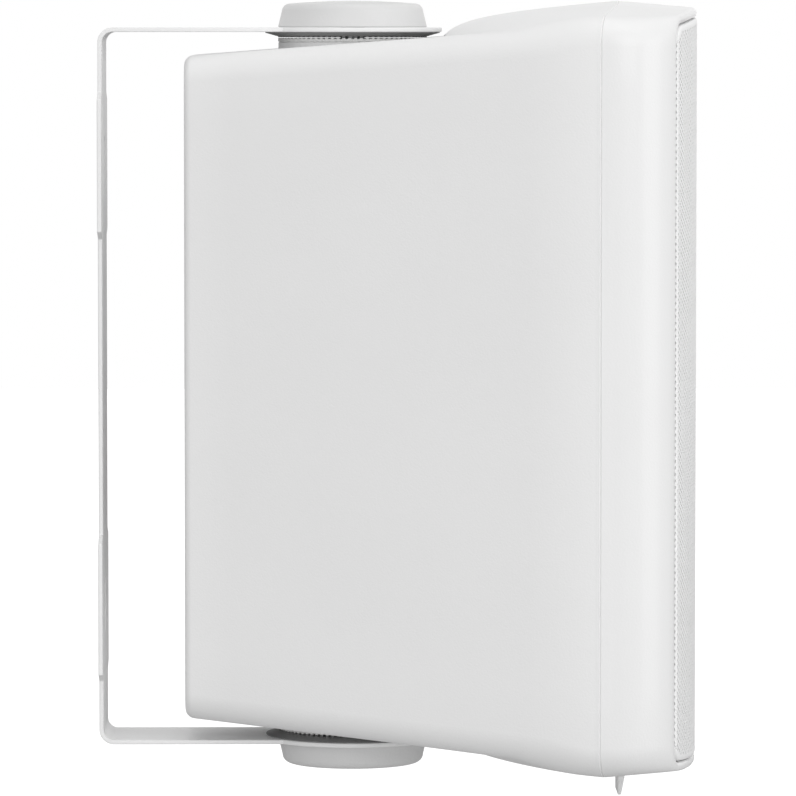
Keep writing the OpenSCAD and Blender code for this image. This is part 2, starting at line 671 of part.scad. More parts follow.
module spider_profile() polygon(concat([for (r = spider_rs) [r, spider_d(r, 0)]],
    [[36.3, ledge_d + fit], [40.5, ledge_d + fit], [40.5, ledge_d + 0.7], [36.5, ledge_d + 0.7]],
    reversed([for (r = spider_rs) [r, spider_d(r, 0.6)]])));
module woofer_spider() color("wheat") facing(0, woofer_z) rotate_extrude() spider_profile();
cone_front = woofer_seat;
cone_t = 0.9;
neck_d = baffle_front - 18;
module woofer_cone() {
    color("#3a3a3a") turned(0, woofer_z, [[former_r + fit, neck_d], [lap_r + 0.5, cone_front - cone_t],
        [cone_r, cone_front - cone_t], [cone_r, cone_front - 0.1], [lap_r, cone_front - 0.1],
        [former_r + fit, neck_d + 1.2]]);
}
cap_r = former_r + 2.5;
cap_d = neck_d + 1.3 + (cap_r - former_r) * (cone_front - neck_d - 1.2) / (lap_r - former_r);
cap_rise = 6;
cap_ball = (cap_r * cap_r + cap_rise * cap_rise) / (2 * cap_rise);
function cap_curve(rise, n = 8) = [for (i = [0 : n]) let (r = cap_r * i / n)
    [r, cap_d + rise - cap_ball + sqrt(cap_ball * cap_ball - r * r)]];
module dust_cap() color("#2c2c2c") turned(0, woofer_z,
    concat(cap_curve(cap_rise), reversed(cap_curve(cap_rise + 0.6))));
module voice_coil() {
    color("peru") turned(0, woofer_z, [[former_r - 0.4, basket_back - 9], [former_r, basket_back - 9],
        [former_r, basket_back - 6], [former_r + 0.7, basket_back - 6], [former_r + 0.7, basket_back + 1],
        [former_r, basket_back + 1], [former_r, neck_d + 1.4], [former_r - 0.4, neck_d + 1.4]]);
}

// tweeter: face plate with a shallow horn, dome on its own coil, sealed motor
tweeter_pcd_r = face_r - 3.7;
tweeter_screw_angles = [0 : quarter : 270];
tweeter_seat = baffle_front - 0.8;
module tweeter_faceplate() {
    color("#333333") difference() {
        turned(0, tweeter_z, [[dome_r + 5, baffle_front], [face_r, baffle_front],
            [face_r, baffle_front + 2.2], [face_r - 0.8, baffle_front + 3],
            [dome_r + 12, baffle_front + 3], [dome_r + 7, baffle_front + 1.8],
            [dome_r + 5, baffle_front + 0.6]]);
        for (a = tweeter_screw_angles) facing_disc(tweeter_pcd_r * cos(a),
            tweeter_z + tweeter_pcd_r * sin(a), small_screw_r + fit, baffle_front - 1, baffle_front + 4);
    }
}
module tweeter_motor() {
    color("silver") turned(0, tweeter_z, [[0, tweeter_seat - 20], [tweeter_magnet_r, tweeter_seat - 20],
        [tweeter_magnet_r, tweeter_seat], [dome_r + 1.1, tweeter_seat], [dome_r + 1.1, tweeter_seat - 15],
        [dome_r - 0.8, tweeter_seat - 15], [dome_r - 0.8, tweeter_seat - 0.5], [0, tweeter_seat - 0.5]]);
}
module tweeter_surround() {
    low = tweeter_seat + fit;
    color("#2a2a2a") turned(0, tweeter_z, [[dome_r + 0.3, low + 0.9], [dome_r + 0.9, low + 1.5],
        [dome_r + 1.6, low + 1.3], [dome_r + 2.2, low + 0.6], [dome_r + 8, low + 0.6], [dome_r + 8, low],
        [dome_r + 1.9, low], [dome_r + 1.3, low + 0.8], [dome_r + 0.9, low + 0.9],
        [dome_r + 0.5, low + 0.6]]);
}
dome_rise = 4.5;
dome_ball = (dome_r * dome_r + dome_rise * dome_rise) / (2 * dome_rise);
function dome_curve(r_end, lift, n = 8) = [for (i = [0 : n]) let (r = r_end * i / n)
    [r, tweeter_seat + lift + dome_rise - dome_ball + sqrt(dome_ball * dome_ball - r * r)]];
module tweeter_dome() {
    color("#1f1f1f") turned(0, tweeter_z, concat(dome_curve(dome_r - 0.3, 1),
        [[dome_r - 0.3, tweeter_seat - 6], [dome_r, tweeter_seat - 6]],
        reversed(dome_curve(dome_r, 1.5))));
}
module tweeter_screws() {
    color("dimgray") for (a = tweeter_screw_angles) pan_screw(tweeter_pcd_r * cos(a),
        tweeter_z + tweeter_pcd_r * sin(a), small_screw_r, small_head_r, baffle_front + 3, 10, 1.4);
}

// flared bass port
module port_tube() {
    color("#2b2b2b") turned(0, port_z, [[port_r, baffle_front - port_l],
        [port_r + port_wall, baffle_front - port_l], [port_r + port_wall, baffle_front],
        [port_r + port_wall + 3, baffle_front],
        [port_r + port_wall + 3, baffle_front + 1.2], [port_r + 2.4, baffle_front + 2],
        [port_r + 0.8, baffle_front + 1.2], [port_r, baffle_front - 1.5]]);
}

// connection panel let into the back, with its sockets, terminals and button
seal_t = 0.8;
ledge = 5;
panel_screw_spots = [for (sx = [-1, 1], sz = [-1, 1])
    [sx * (panel_w / 2 - ledge / 2), sz * (panel_h / 2 - ledge / 2)]];
boss_r = 2.5;
power_z = 46;
audio_z = 29;
button_z = 14;
light_z = 4;
block_z = -32;
block_w = 30;
block_h = 26;
collar_r = 4;
audio_collar_r = 3.4;
light_r = 1.5;
post_margin = 5;
board_low = block_z - block_h / 2 - boss_r - 0.5 - post_margin;
board_z = board_low + board_h / 2;
board_spots = [for (sx = [-1, 1], sz = [-1, 1])
    [sx * (board_w / 2 - 4), board_z + sz * (board_h / 2 - post_margin)]];
module rear_panel() {
    color("#2f2f2f") difference() {
        union() {
            block(-panel_w / 2, panel_w / 2, panel_face, panel_inner, -panel_h / 2, panel_h / 2);
            for (spot = board_spots)
                facing_disc(spot[0], spot[1], boss_r, panel_inner - eps, board_back);
        }
        facing_disc(0, power_z, collar_r + fit, panel_face - 1, panel_inner + 1);
        facing_disc(0, audio_z, audio_collar_r + fit, panel_face - 1, panel_inner + 1);
        facing_disc(0, button_z, button_r + slack, panel_face - 1, panel_inner + 1);
        facing_disc(0, light_z, light_r + fit, panel_face - 1, panel_inner + 1);
        block(-block_w / 2 - fit, block_w / 2 + fit, panel_face - 1, panel_inner + 1,
            block_z - block_h / 2 - fit, block_z + block_h / 2 + fit);
        for (spot = panel_screw_spots)
            facing_disc(spot[0], spot[1], small_screw_r + fit, panel_face - 1, panel_inner + 1);
        for (spot = board_spots)
            facing_disc(spot[0], spot[1], small_screw_r + fit, board_back - 8, board_back + 1);
    }
}
module panel_seal() {
    inner_w = panel_w / 2 - ledge;
    inner_h = panel_h / 2 - ledge;
    color("black") difference() {
        block(-panel_w / 2, panel_w / 2, panel_inner, panel_inner + seal_t, -panel_h / 2, panel_h / 2);
        block(-inner_w, inner_w, panel_face, panel_inner + seal_t + 1, -inner_h, inner_h);
        for (spot = panel_screw_spots)
            facing_disc(spot[0], spot[1], small_screw_r + 0.2, panel_face,
                panel_inner + seal_t + 1);
    }
}
module panel_screws() {
    color("silver") for (spot = panel_screw_spots) facing(spot[0], spot[1]) {
        translate([0, 0, panel_face - 1.2]) cylinder(r = 2.2, h = 1.2);
        translate([0, 0, panel_face - 1]) cylinder(r = small_screw_r, h = wall_t + 3);
    }
}
module power_socket() {
    color("#1c1c1c") {
        difference() {
            union() {
                facing_disc(0, power_z, collar_r, panel_face - 0.5, panel_inner + 1);
                block(-4.6, 4.6, panel_inner, panel_inner + 11, power_z - 5, power_z + 5);
            }
            facing_disc(0, power_z, power_r, panel_face - 2, panel_inner + 9);
        }
        facing_disc(0, power_z, 1, panel_face + 0.5, panel_inner + 10);
    }
}
module audio_socket() {
    color("#242424") difference() {
        union() {
            facing_disc(0, audio_z, audio_collar_r, panel_face - 0.5, panel_inner + 1);
            block(-4, 4, panel_inner, panel_inner + 12.5, audio_z - 4.5, audio_z + 4.5);
        }
        facing_disc(0, audio_z, aux_r, panel_face - 2, panel_inner + 11.5);
    }
}
lever_x = block_w / 4;
lever_h = 13;
lever_t = 3;
pin_d = panel_face + 3.5;
pin_z = block_z - 7;
bay_w = lever_w + 0.8;
module terminal_block() {
    color("#202020") difference() {
        union() {
            block(-block_w / 2, block_w / 2, panel_face - 1, panel_inner + 9,
                block_z - block_h / 2, block_z + block_h / 2);
            block(-block_w / 2 - 2, block_w / 2 + 2, panel_inner, panel_inner + 3,
                block_z - block_h / 2 + 1, block_z + block_h / 2 + 2);
        }
        for (side = [-1, 1]) {
            block(side * lever_x - bay_w / 2, side * lever_x + bay_w / 2, panel_face - 2, pin_d + 5.4,
                pin_z - 2.2, pin_z + lever_h);
            facing_disc(side * lever_x, block_z + block_h / 2 - 3.2, 1.7, panel_face - 2, panel_inner + 7);
        }
        translate([-block_w / 2 + 1, -pin_d, pin_z]) rotate([0, quarter, 0])
            cylinder(r = lever_pin_r + 0.06, h = block_w - 2);
    }
}
module lever(x) {
    translate([x - lever_w / 2, -pin_d, pin_z]) rotate([quarter, 0, quarter]) linear_extrude(lever_w)
        polygon([[-1.6, -1.6], [1.6, -1.6], [pin_d - panel_face + 1.6, 1.6],
            [pin_d - panel_face + 2.2, lever_h - 3.1], [pin_d - panel_face + 0.6, lever_h - 1.2],
            [pin_d - panel_face - lever_t + 1, lever_h - 1.2], [-1.6, 2]]);
    translate([x - bay_w / 2 - 0.8, -pin_d, pin_z]) rotate([0, quarter, 0])
        cylinder(r = lever_pin_r, h = bay_w + 1.6);
}
module red_lever() color("firebrick") lever(lever_x);
module black_lever() color("#101010") lever(-lever_x);
module pairing_button() {
    color("gray") facing(0, button_z) {
        translate([0, 0, panel_face - 0.8]) cylinder(r = button_r, h = panel_t + 0.8 + slack + eps);
        translate([0, 0, panel_inner + slack]) cylinder(r = button_r + 1.4, h = 1);
        translate([0, 0, panel_inner + 1]) cylinder(r = 1.6, h = board_gap - 5);
    }
}
module status_light() {
    color("deepskyblue") {
        facing_disc(0, light_z, light_r, panel_face - 0.2, panel_inner + 0.5);
        facing_disc(0, light_z, light_r + 0.8, panel_inner, panel_inner + 2);
        facing_disc(0, light_z, 0.9, panel_inner + 1, board_back);
    }
}

// amplifier board and what stands on it
module amplifier_board() {
    color("darkgreen") {
        difference() {
            block(-board_w / 2, board_w / 2, board_back, board_front,
                board_z - board_h / 2, board_z + board_h / 2);
            for (spot = board_spots)
                facing_disc(spot[0], spot[1], small_screw_r + 0.2, board_back - 1, board_front + 1);
        }
        block(-3, 3, board_back - 2.2, board_back + eps, button_z - 3, button_z + 3);
        block(-9, 9, board_front - eps, board_front + 2.4, sink_z - 9, sink_z + 9);
    }
}
sink_z = 24;
sink_w = board_w - 2;
sink_h = 40;
fin_t = 1.2;
module heat_sink() {
    base = board_front + 2.4;
    color("silver") {
        block(-sink_w / 2, sink_w / 2, base, base + 2.5, sink_z - sink_h / 2, sink_z + sink_h / 2);
        for (i = [0 : fin_count - 1]) let (x = -sink_w / 2 + i * (sink_w - fin_t) / (fin_count - 1))
            block(x, x + fin_t, base + 2.5 - eps, base + 15,
                sink_z - sink_h / 2, sink_z + sink_h / 2);
    }
}
module power_capacitors() color("#20305a") for (side = [-1, 1])
    facing_disc(side * 9, -24, 6, board_front, board_front + 19);
module wireless_module() {
    color("steelblue") {
        block(-8, 8, board_front, board_front + 1, -14, 0);
        block(-6, 6, board_front + 1 - eps, board_front + 3, -12, -3);
    }
}
module board_screws() {
    color("silver") {
        for (spot = board_spots)
            pan_screw(spot[0], spot[1], small_screw_r, small_head_r, board_front, 7, 1.5);
        for (spot = crossover_spots)
            pan_screw(spot[0], spot[1], small_screw_r, small_head_r, crossover_back + board_t, 5, 1.5);
    }
}
crossover_back = rear_inner + 6;
crossover_z = -86;
crossover_spots = [for (sx = [-1, 1], sz = [-1, 1]) [sx * 18, crossover_z + sz * 11]];
module crossover_board() {
    color("darkgreen") difference() {
        block(-22, 22, crossover_back, crossover_back + board_t, crossover_z - 15, crossover_z + 15);
        for (spot = crossover_spots) facing_disc(spot[0], spot[1], small_screw_r + 0.2, crossover_back - 1,
            crossover_back + board_t + 1);
    }
}
module crossover_coil() color("peru")
    ring(-6, crossover_z, 4, 9, crossover_back + board_t, crossover_back + board_t + 11);
module crossover_capacitors() color("khaki") for (side = [-1, 1])
    facing_disc(11, crossover_z + side * 6, 4, crossover_back + board_t, crossover_back + board_t + 17);
// folded sheet of wadding between the boards and the woofer's motor
wad_back = board_front + 26;
wad_front = wad_back + 10;
module wadding() {
    color("ivory") translate([0, 0, -60]) linear_extrude(105) polygon([
        [half_w(wad_back) - wall_t - 0.5, -wad_back], [half_w(wad_front) - wall_t - 0.5, -wad_front],
        [wall_t + 0.5 - half_w(wad_front), -wad_front], [wall_t + 0.5 - half_w(wad_back), -wad_back]]);
}

mounting_bracket();
upper_ratchet_ring();
lower_ratchet_ring();
upper_boss_ring();
lower_boss_ring();
upper_knob();
lower_knob();
upper_knob_stud();
lower_knob_stud();
upper_knob_washer();
lower_knob_washer();
upper_insert();
lower_insert();
rear_cabinet();
front_bezel();
cabinet_seal();
cabinet_screws();
grille();
woofer_basket();
woofer_top_plate();
woofer_magnet();
woofer_pole_piece();
woofer_gasket();
woofer_screws();
woofer_surround();
woofer_spider();
woofer_cone();
dust_cap();
voice_coil();
tweeter_faceplate();
tweeter_motor();
tweeter_surround();
tweeter_dome();
tweeter_screws();
port_tube();
rear_panel();
panel_seal();
panel_screws();
power_socket();
audio_socket();
terminal_block();
red_lever();
black_lever();
pairing_button();
status_light();
amplifier_board();
heat_sink();
power_capacitors();
wireless_module();
board_screws();
crossover_board();
crossover_coil();
crossover_capacitors();
wadding();
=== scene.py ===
import bpy, bmesh, math
from mathutils import Matrix, Vector


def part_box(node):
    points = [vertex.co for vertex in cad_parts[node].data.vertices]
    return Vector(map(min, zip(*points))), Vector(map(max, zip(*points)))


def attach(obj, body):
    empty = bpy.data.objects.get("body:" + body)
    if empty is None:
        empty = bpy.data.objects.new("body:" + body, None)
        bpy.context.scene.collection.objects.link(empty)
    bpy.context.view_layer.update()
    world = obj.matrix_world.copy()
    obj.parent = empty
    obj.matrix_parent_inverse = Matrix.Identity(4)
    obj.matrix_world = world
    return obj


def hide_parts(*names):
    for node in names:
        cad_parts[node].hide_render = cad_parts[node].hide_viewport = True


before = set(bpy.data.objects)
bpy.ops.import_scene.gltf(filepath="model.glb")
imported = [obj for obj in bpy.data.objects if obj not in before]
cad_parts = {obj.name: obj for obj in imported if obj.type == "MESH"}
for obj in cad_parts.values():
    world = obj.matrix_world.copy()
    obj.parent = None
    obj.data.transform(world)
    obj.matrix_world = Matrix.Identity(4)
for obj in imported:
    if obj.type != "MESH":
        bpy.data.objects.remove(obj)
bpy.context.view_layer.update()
bpy.ops.object.select_all(action="DESELECT")

# Camera: the photograph looks at the speaker's side from about two metres,
# level with its upper half, through a long lens and with no shift.
lens = bpy.data.cameras.new("side_camera")
lens.sensor_width = 36.0
lens.lens = 272.6
lens.clip_start, lens.clip_end = 0.05, 60.0
camera = bpy.data.objects.new("side_camera", lens)
camera.location = (-2.030, -0.0811, 0.1195)
aim = Vector((0.0, -0.1003, -0.0048)) - camera.location
camera.rotation_euler = aim.to_track_quat("-Z", "Y").to_euler()
bpy.context.scene.collection.objects.link(camera)
bpy.context.scene.camera = camera
bpy.context.scene.view_settings.view_transform = "Standard"

# Studio: a pale floor well below the bracket, two broad lamps on the camera's
# side, a weaker one in front of the grille, a wide lamp overhead and one low down.
bpy.ops.mesh.primitive_plane_add(size=14, location=(0, 0, -0.42))
floor = bpy.context.object
floor.name = "studio_floor"
paper = bpy.data.materials.new("studio_paper")
paper.use_nodes = True
tree = paper.node_tree
tree.nodes.clear()
seen = tree.nodes.new("ShaderNodeLightPath")
matt = tree.nodes.new("ShaderNodeBsdfDiffuse")
matt.inputs["Color"].default_value = (0.5, 0.5, 0.5, 1)
glow = tree.nodes.new("ShaderNodeEmission")
dim = tree.nodes.new("ShaderNodeMath")
dim.operation = "MULTIPLY"
dim.inputs[1].default_value = 0.86
tree.links.new(seen.outputs["Is Camera Ray"], dim.inputs[0])
tree.links.new(dim.outputs[0], glow.inputs["Strength"])
both = tree.nodes.new("ShaderNodeAddShader")
out = tree.nodes.new("ShaderNodeOutputMaterial")
tree.links.new(matt.outputs[0], both.inputs[0])
tree.links.new(glow.outputs[0], both.inputs[1])
tree.links.new(both.outputs[0], out.inputs["Surface"])
floor.data.materials.append(paper)

sky = bpy.data.worlds.new("studio_air")
bpy.context.scene.world = sky
sky.use_nodes = True
tree = sky.node_tree
tree.nodes.clear()
seen = tree.nodes.new("ShaderNodeLightPath")
white = tree.nodes.new("ShaderNodeMath")
white.operation = "MAXIMUM"
tree.links.new(seen.outputs["Is Camera Ray"], white.inputs[0])
tree.links.new(seen.outputs["Is Transmission Ray"], white.inputs[1])
shiny = tree.nodes.new("ShaderNodeMath")
shiny.operation = "MAXIMUM"
tree.links.new(white.outputs[0], shiny.inputs[0])
tree.links.new(seen.outputs["Is Glossy Ray"], shiny.inputs[1])
level = tree.nodes.new("ShaderNodeMapRange")
level.inputs["To Min"].default_value = 0.66
level.inputs["To Max"].default_value = 1.0
tree.links.new(shiny.outputs[0], level.inputs["Value"])
air = tree.nodes.new("ShaderNodeBackground")
air.inputs["Color"].default_value = (1, 1, 1, 1)
tree.links.new(level.outputs[0], air.inputs["Strength"])
out = tree.nodes.new("ShaderNodeOutputWorld")
tree.links.new(air.outputs[0], out.inputs["Surface"])


def lamp(name, place, size, watts, target=(0, -0.1, 0)):
    """A square soft lamp, in metres and watts, that looks at the speaker's middle."""
    light = bpy.data.lights.new(name, "AREA")
    light.size = size
    light.energy = watts
    holder = bpy.data.objects.new(name, light)
    holder.location = place
    holder.rotation_euler = (Vector(target) - Vector(place)).to_track_quat("-Z", "Y").to_euler()
    bpy.context.scene.collection.objects.link(holder)


lamp("side_softbox", (-1.95, -1.75, 0.75), 1.2, 11)
lamp("wall_side_softbox", (-2.5, 0.5, 0.4), 1.2, 9)
lamp("front_softbox", (-0.5, -2.6, 0.2), 1.2, 10)
lamp("overhead_softbox", (-0.3, -0.3, 2.1), 1.6, 8)
lamp("low_softbox", (-1.5, -0.2, -0.38), 0.8, 3, target=(0, -0.1, -0.1))

# Mounting bracket: one strip of steel bent twice, with two wall pads and two
# round arm ends, powder coated white. The laser-cut edges are eased.
MM = 0.001


def coating(name, colour, rough, grain, bump, tint=0.03, metal=0.0, coat=0.0, stretch=(1, 1, 1)):
    """A finish whose colour, gloss and surface vary a little, in millimetre-sized grain."""
    made = bpy.data.materials.new(name)
    made.use_nodes = True
    tree = made.node_tree
    shader = tree.nodes["Principled BSDF"]
    shader.inputs["Metallic"].default_value = metal
    shader.inputs["Coat Weight"].default_value = coat
    spot = tree.nodes.new("ShaderNodeTexCoord")
    turn = tree.nodes.new("ShaderNodeMapping")
    turn.inputs["Scale"].default_value = stretch
    tree.links.new(spot.outputs["Object"], turn.inputs["Vector"])
    cloud = tree.nodes.new("ShaderNodeTexNoise")
    cloud.inputs["Scale"].default_value = 18
    cloud.inputs["Detail"].default_value = 5
    tree.links.new(turn.outputs[0], cloud.inputs["Vector"])
    ramp = tree.nodes.new("ShaderNodeValToRGB")
    ramp.color_ramp.elements[0].position = 0.3
    ramp.color_ramp.elements[1].position = 0.7
    ramp.color_ramp.elements[0].color = (*[c * (1 - tint) for c in colour], 1)
    ramp.color_ramp.elements[1].color = (*[min(1, c * (1 + tint / 2)) for c in colour], 1)
    tree.links.new(cloud.outputs["Fac"], ramp.inputs["Fac"])
    tree.links.new(ramp.outputs["Color"], shader.inputs["Base Color"])
    fine = tree.nodes.new("ShaderNodeTexNoise")
    fine.inputs["Scale"].default_value = grain
    fine.inputs["Detail"].default_value = 3
    tree.links.new(turn.outputs[0], fine.inputs["Vector"])
    gloss = tree.nodes.new("ShaderNodeMapRange")
    gloss.inputs["To Min"].default_value = max(0.02, rough - 0.05)
    gloss.inputs["To Max"].default_value = min(1.0, rough + 0.05)
    tree.links.new(fine.outputs["Fac"], gloss.inputs["Value"])
    tree.links.new(gloss.outputs[0], shader.inputs["Roughness"])
    raised = tree.nodes.new("ShaderNodeBump")
    raised.inputs["Strength"].default_value = bump
    raised.inputs["Distance"].default_value = 0.0002
    tree.links.new(fine.outputs["Fac"], raised.inputs["Height"])
    tree.links.new(raised.outputs[0], shader.inputs["Normal"])
    return made


def pick(piece):
    """Makes one object the only selected and active one."""
    bpy.ops.object.select_all(action="DESELECT")
    bpy.context.view_layer.objects.active = piece
    piece.select_set(True)


def shade(piece, degrees=32):
    """Smooths every edge that bends less than the angle."""
    pick(piece)
    bpy.ops.object.shade_smooth_by_angle(angle=math.radians(degrees))
    bpy.ops.object.select_all(action="DESELECT")


def settle(piece, body, material, *nodes, slot=None):
    """Gives a finished piece its material, the body it rides on and the nodes it stands for."""
    piece.data.materials.clear()
    piece.data.materials.append(material)
    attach(piece, body)
    if nodes:
        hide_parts(*nodes)


def dress(node, material):
    """A modelled part that keeps its own shape and gets its real finish."""
    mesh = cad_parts[node].data
    mesh.materials.clear()
    mesh.materials.append(material)


def eased(node, width, body, material, slot, steps=2, corner=35):
    """A copy of a part with its sharp edges rounded, as tumbling or coating leaves them."""
    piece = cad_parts[node].copy()
    piece.data = piece.data.copy()
    for tag in list(piece.keys()):
        del piece[tag]
    piece.parent = None
    piece.name = node + "_finished"
    bpy.context.scene.collection.objects.link(piece)
    pick(piece)
    bpy.ops.object.mode_set(mode="EDIT")
    bpy.ops.mesh.select_all(action="SELECT")
    bpy.ops.mesh.remove_doubles(threshold=1e-6)
    bpy.ops.mesh.dissolve_limited(angle_limit=math.radians(0.8))
    bpy.ops.object.mode_set(mode="OBJECT")
    rounding = piece.modifiers.new("rounding", "BEVEL")
    rounding.width = width
    rounding.segments = steps
    rounding.limit_method = "ANGLE"
    rounding.angle_limit = math.radians(corner)
    bpy.ops.object.modifier_apply(modifier=rounding.name)
    shade(piece)
    pick(piece)
    flats = piece.modifiers.new("flats", "WEIGHTED_NORMAL")
    flats.keep_sharp = True
    bpy.ops.object.modifier_apply(modifier=flats.name)
    bpy.ops.object.select_all(action="DESELECT")
    settle(piece, body, material, node, slot=slot)
    return piece


powder_white = coating("powder_coat_white", (0.86, 0.86, 0.86), 0.42, 900, 0.25, tint=0.02)
eased("mounting_bracket", 0.35 * MM, "bracket", powder_white, "white_paint")

# Ratchet rings: moulded discs glued under the arms and into the cabinet, with
# eighty radial teeth each, so that the cabinet holds the angle it is set to.
# The rings' dark grey is painted shade: it stands for the shadow under the arms and is not the
# moulding's own colour.
ring_painted_shade_grey = coating("ring_painted_shade_grey", (0.22, 0.22, 0.22), 0.55, 700, 0.2, tint=0.04)
boss_white = coating("boss_white", (0.80, 0.80, 0.79), 0.5, 700, 0.2)
for node in ("upper_ratchet_ring", "lower_ratchet_ring"):
    dress(node, ring_painted_shade_grey)
for node in ("upper_boss_ring", "lower_boss_ring"):
    dress(node, boss_white)

# Rear cabinet: an injection-moulded white tub that widens and rises towards the
# front, with a hooded front half. Its skin is lofted through cross-sections.
wall_gap, rear_half_w, rear_half_h, rear_edge = 29.0, 31.0, 110.6, 3.0
side_taper, top_slope, taper_end = 0.43, 0.075, 141.0
seam_half_w, seam_side, seam_mid = 85.0, 165.0, 174.0
hood_mid, hood_side, hood_rise, hood_half, hood_side_rise = 115.5, 142.0, 8.5, 8.0, 2.4
front_side, front_mid, front_half_w, shoulder = 190.0, 200.3, 70.0, 2.4
bezel_drop, grille_bow, long_edge, wall = 0.085, 238.0, 9.0, 3.5
blend_l = seam_side - taper_end
taper_w = rear_half_w + side_taper * (taper_end - wall_gap - rear_edge)
blend_k = (seam_half_w - taper_w - side_taper * blend_l) / blend_l ** 2
lip_corner = 1 - long_edge / front_half_w
side_step = front_mid - front_half_w ** 2 / (2 * grille_bow) - front_side


def mix(a, b, t):
    return a + (b - a) * t


def unit(v):
    return min(1.0, max(0.0, v))


def ease(v):
    return unit(v) ** 2 * (3 - 2 * unit(v))


def seam_depth(u):
    return mix(seam_mid, seam_side, u * u)


def hood_depth(u):
    return mix(hood_mid, hood_side, u * u)


def front_depth(u):
    return (front_mid - (u * front_half_w) ** 2 / (2 * grille_bow)
            - side_step * ease((u - lip_corner) / (1 - lip_corner)))


def half_width(d):
    if d < taper_end:
        return rear_half_w + side_taper * (d - wall_gap - rear_edge)
    if d < seam_side:
        return taper_w + side_taper * (d - taper_end) + blend_k * (d - taper_end) ** 2
    return seam_half_w - (seam_half_w - front_half_w) * unit(
        (d - seam_side) / (front_side - seam_side)) ** shoulder


def hood_height(u, d):
    s = max(0.0, d - hood_depth(u))
    return (rear_half_h + top_slope * (d - wall_gap) + (1 - u * u) * hood_rise * s / (s + hood_half)
            + u * u * hood_side_rise * ease(s / (seam_side - hood_side)))


def top_height(u, x, d):
    if d <= seam_depth(u) + 0.01:
        return hood_height(u, d)
    v = min(1.0, x / seam_half_w)
    return hood_height(v, seam_depth(v)) - bezel_drop * (d - seam_depth(v))


def section(w, r, inset, depth, across=22, round_steps=8, sides=14):
    """One closed cross-section, w and r before the inset; depth is a function of u."""
    w, r = w - inset, max(1.0, r - inset)
    arc = []
    for i in range(across + 1):
        x, u = i / across * (w - r), i / across * (1 - r / w)
        arc.append((x, depth(u), top_height(u, x, depth(u)) - inset))
    for i in range(1, round_steps + 1):
        a = math.pi / 2 * i / round_steps
        x, u = w - r + r * math.sin(a), 1 - r / w + r / w * math.sin(a)
        arc.append((x, depth(u), top_height(u, x, depth(u)) - inset - r * (1 - math.cos(a))))
    edge = [(arc[-1][0], arc[-1][1], arc[-1][2] * mix(1, -1, i / sides)) for i in range(1, sides)]
    right = arc + edge + [(x, d, -z) for x, d, z in reversed(arc)]
    left = [(-x, d, z) for x, d, z in reversed(right)][1:-1]
    return [Vector((x, -d, z)) * MM for x, d, z in right + left]


def lofted(name, rings, cap_first=True, cap_last=True, closed=False):
    """Skins a list of equal cross-sections, with flat ends."""
    mesh = bmesh.new()
    rows = [[mesh.verts.new(p) for p in ring] for ring in rings]
    n = len(rows[0])
    pairs = list(zip(rows, rows[1:])) + ([(rows[-1], rows[0])] if closed else [])
    for a, b in pairs:
        for i in range(n):
            mesh.faces.new((a[i], a[(i + 1) % n], b[(i + 1) % n], b[i]))
    if cap_first:
        mesh.faces.new(rows[0])
    if cap_last:
        mesh.faces.new(rows[-1])
    bmesh.ops.recalc_face_normals(mesh, faces=mesh.faces)
    piece = bpy.data.objects.new(name, bpy.data.meshes.new(name))
    mesh.to_mesh(piece.data)
    mesh.free()
    bpy.context.scene.collection.objects.link(piece)
    return piece


def turned(name, profile, centre, axis="Z", steps=96):
    """Spins a closed profile of (radius, height) in mm about a Z axis, or a depth axis."""
    place = Vector(centre)
    points = [Vector((r, 0, h)) * MM if axis == "Z" else Vector((r, -h, 0)) * MM for r, h in profile]
    piece = bpy.data.objects.new(name, bpy.data.meshes.new(name))
    last = len(points)
    on_axis = [r < 1e-6 for r, h in profile]
    lines = [(i, (i + 1) % last) for i in range(last) if not (on_axis[i] and on_axis[(i + 1) % last])]
    piece.data.from_pydata([p + place for p in points], lines, [])
    bpy.context.scene.collection.objects.link(piece)
    pick(piece)
    bpy.ops.object.mode_set(mode="EDIT")
    bpy.ops.mesh.select_all(action="SELECT")
    bpy.ops.mesh.spin(steps=steps, angle=math.tau, center=place,
                      axis=(0, 0, 1) if axis == "Z" else (0, -1, 0))
    bpy.ops.mesh.select_all(action="SELECT")
    bpy.ops.mesh.remove_doubles(threshold=1e-6)
    bpy.ops.mesh.normals_make_consistent(inside=False)
    bpy.ops.object.mode_set(mode="OBJECT")
    return piece


def block(name, x0, x1, d0, d1, z0, z1):
    """A box given by width, depth from the wall and height, in mm."""
    bpy.ops.mesh.primitive_cube_add(size=1)
    piece = bpy.context.object
    piece.name = name
    piece.data.transform(Matrix.LocRotScale(
        Vector(((x0 + x1) / 2, -(d0 + d1) / 2, (z0 + z1) / 2)) * MM, None,
        Vector((x1 - x0, d1 - d0, z1 - z0)) * MM))
    return piece


def cut(piece, tool):
    """Takes the tool's volume out of the piece and throws the tool away."""
    pick(piece)
    bite = piece.modifiers.new("bite", "BOOLEAN")
    bite.operation = "DIFFERENCE"
    bite.object = tool
    bite.solver = "EXACT"
    bpy.ops.object.modifier_apply(modifier=bite.name)
    bpy.data.objects.remove(tool)


def rear_section(angle):
    d = wall_gap + rear_edge * (1 - math.sin(angle))
    return section(half_width(wall_gap + rear_edge), long_edge, rear_edge * (1 - math.cos(angle)),
                   lambda u: d)


def hood_section(t, inset=0.0, back=0.0):
    return section(half_width(mix(hood_side, seam_side, t)), long_edge, inset,
                   lambda u: mix(hood_depth(u), seam_depth(u), t) - back)


